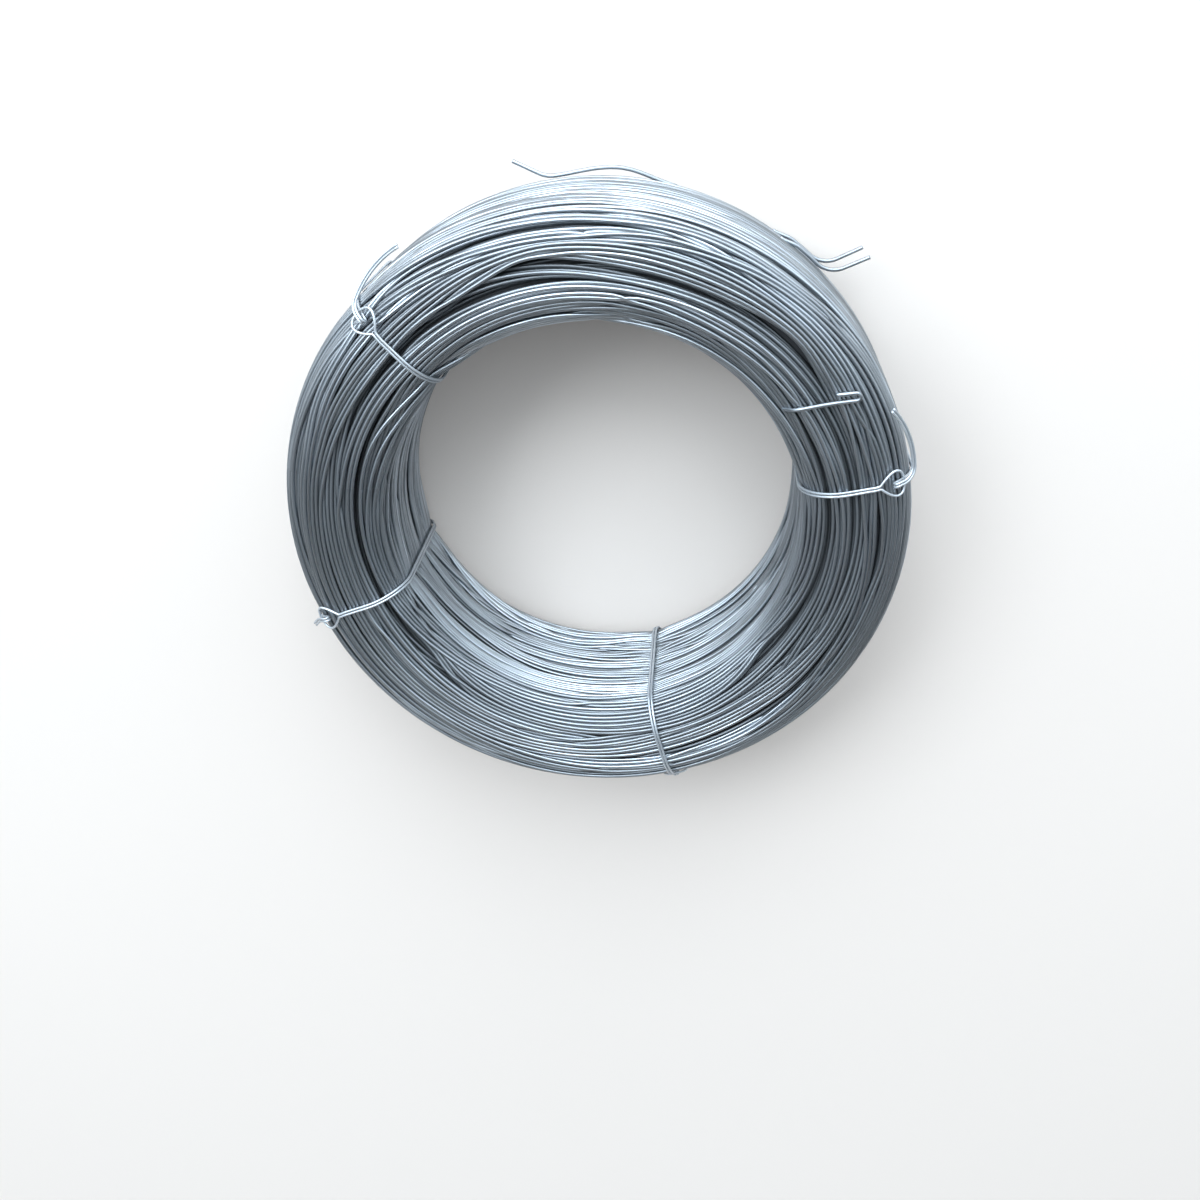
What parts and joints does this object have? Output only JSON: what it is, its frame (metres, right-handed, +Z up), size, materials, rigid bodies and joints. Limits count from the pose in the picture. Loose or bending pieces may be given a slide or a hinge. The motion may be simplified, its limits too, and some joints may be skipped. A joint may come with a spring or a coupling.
{
  "type": "coil of galvanized wire",
  "caption": "Ring-shaped coil of galvanized steel wire, wound in loose turns round an open bore and bound across its section by doubled wire ties, each with its tails drawn through its own eye.",
  "frame": {"origin": "on the axis of the bore, on the floor that the coil lies on", "axes": "+Z up along the axis of the bore; +X and +Y lie in the plane of the coil's lower end"},
  "size_m": [0.63, 0.63, 0.2043],
  "materials": {
    "galvanized_wire": "weathered zinc coat, satin, bluish grey",
    "tie_wire": "bright zinc coat, satin"
  },
  "bodies": {
    "root": {"wire_coil": "galvanized_wire", "tie_1": "tie_wire", "tie_2": "tie_wire", "tie_3": "tie_wire", "tie_4": "tie_wire", "outer_end": "galvanized_wire", "inner_end": "galvanized_wire", "tail_ends": "galvanized_wire"}
  },
  "joints": []
}
